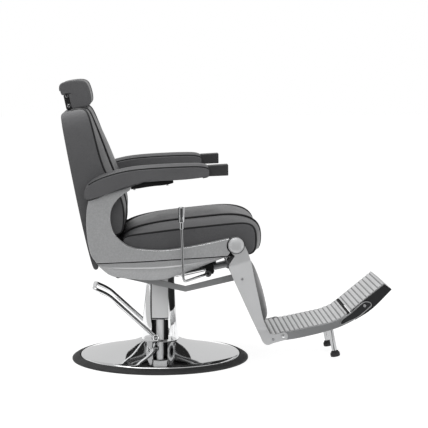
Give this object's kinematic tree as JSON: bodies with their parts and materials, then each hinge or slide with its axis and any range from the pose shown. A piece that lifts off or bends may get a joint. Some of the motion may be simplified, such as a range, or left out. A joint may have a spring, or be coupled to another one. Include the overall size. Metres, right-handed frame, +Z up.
{
  "type": "barber chair",
  "caption": "Barber chair with a hydraulic swivel column, padded seat, reclining back and headrest, arm panels, linked legrest and folding ribbed footrest.",
  "frame": {"origin": "centre of the round base on the floor, under the column's axis", "axes": "+X forwards, the way the sitter faces; +Y to the sitter's left; +Z up"},
  "size_m": [1.0985, 0.6459, 0.9459],
  "materials": {
    "leather": "fine grained dark grey upholstery",
    "satin_aluminium": "satin grey casting",
    "bright_aluminium": "satin light casting",
    "chrome": "polished",
    "steel": "bare turned steel",
    "graphite": "satin graphite paint",
    "black_steel": "satin black paint",
    "black_plastic": "matt black moulding",
    "rubber": "matt"
  },
  "bodies": {
    "base": {"base_plate": "black_steel", "base_ring": "rubber", "base_dome": "chrome", "column_sleeve": "chrome", "pump_cylinder": "steel"},
    "pump_pedal": {"pump_pedal": "chrome"},
    "piston": {"piston_rod": "chrome"},
    "seat": {"swivel_hub": "black_steel", "frame_rail_right": "black_steel", "frame_rail_left": "black_steel", "seat_pan": "black_steel", "seat_cushion": "leather", "side_plate_right": "black_steel", "side_plate_left": "black_steel", "side_panel_right": "satin_aluminium", "side_panel_left": "satin_aluminium", "under_cover_right": "satin_aluminium", "under_cover_left": "satin_aluminium", "arm_pad_right": "leather", "arm_pad_left": "leather", "hand_grip_right": "black_plastic", "hand_grip_left": "black_plastic", "arm_bracket_right": "black_plastic", "arm_bracket_left": "black_plastic", "lock_block": "black_plastic"},
    "recline_lever": {"recline_lever": "chrome", "recline_handle": "chrome"},
    "back": {"back_shell": "leather", "back_cushion": "leather", "back_crank_right": "black_steel", "back_crank_left": "black_steel"},
    "headrest_carrier": {"headrest_stem": "chrome", "headrest_bracket": "black_steel"},
    "headrest": {"headrest_pad": "leather"},
    "links": {"link_right": "bright_aluminium", "link_left": "bright_aluminium"},
    "lock_rod": {"lock_rod": "graphite"},
    "legrest": {"legrest_panel_right": "bright_aluminium", "legrest_panel_left": "bright_aluminium", "lock_bar": "steel", "link_bar": "steel", "calf_board": "black_steel", "calf_pad": "leather"},
    "footrest": {"foot_plate": "bright_aluminium", "foot_rail_right": "graphite", "foot_rail_left": "graphite", "foot_leg_right": "chrome", "foot_leg_left": "chrome", "foot_pad_right": "rubber", "foot_pad_left": "rubber", "tip_arm_right": "chrome", "tip_arm_left": "chrome"},
    "tip": {"tip_plate": "bright_aluminium", "tip_rail_right": "graphite", "tip_rail_left": "graphite"}
  },
  "joints": [
    {"name": "pump_stroke", "type": "hinge", "parent": "base", "child": "pump_pedal", "pos_m": [-0.017, 0, 0.082], "axis": [0, -1, 0], "range_deg": [0, 28], "stiffness_Nm_per_rad": 8, "springref_deg": -28.65},
    {"name": "lift", "type": "slide", "parent": "base", "child": "piston", "axis": [0, 0, 1], "range_m": [0, 0.15]},
    {"name": "swivel", "type": "hinge", "parent": "piston", "child": "seat", "pos_m": [0, 0, 0.29], "axis": [0, 0, 1], "continuous": true},
    {"name": "recline", "type": "hinge", "parent": "seat", "child": "back", "pos_m": [-0.165, 0, 0.43], "axis": [0, -1, 0], "range_deg": [0, 45]},
    {"name": "legrest_swing", "type": "hinge", "parent": "seat", "child": "legrest", "pos_m": [0.239, 0, 0.42], "axis": [0, -1, 0], "range_deg": [0, 45]},
    {"name": "link_swing", "type": "hinge", "parent": "back", "child": "links", "pos_m": [-0.1405, 0, 0.316], "axis": [0, -1, 0], "range_deg": [-45, 0]},
    {"name": "lock_slide", "type": "slide", "parent": "seat", "child": "lock_rod", "axis": [0.9793, 0, 0.2023], "range_m": [0, 0.0535]},
    {"name": "headrest_height", "type": "slide", "parent": "back", "child": "headrest_carrier", "axis": [-0.2096, 0, 0.9778], "range_m": [0, 0.1]},
    {"name": "headrest_tilt", "type": "hinge", "parent": "headrest_carrier", "child": "headrest", "pos_m": [-0.30753, 0, 0.89543], "axis": [0, -1, 0], "range_deg": [0, 35]},
    {"name": "footrest_fold", "type": "hinge", "parent": "legrest", "child": "footrest", "pos_m": [0.406, 0, 0.099], "axis": [0, -1, 0], "range_deg": [0, 60]},
    {"name": "tip_flip", "type": "hinge", "parent": "footrest", "child": "tip", "pos_m": [0.678, 0, 0.198], "axis": [0, -1, 0], "range_deg": [0, 140]},
    {"name": "recline_release", "type": "hinge", "parent": "seat", "child": "recline_lever", "pos_m": [0.15146, -0.238, 0.32231], "axis": [0, -1, 0], "range_deg": [0, 18], "stiffness_Nm_per_rad": 2, "springref_deg": -34.38}
  ],
  "couplings": [
    {"joint": "legrest_swing", "follows": "recline", "ratio": 1},
    {"joint": "link_swing", "follows": "recline", "ratio": -1},
    {"joint": "lock_slide", "follows": "recline", "m_per_rad": 0.067466}
  ]
}
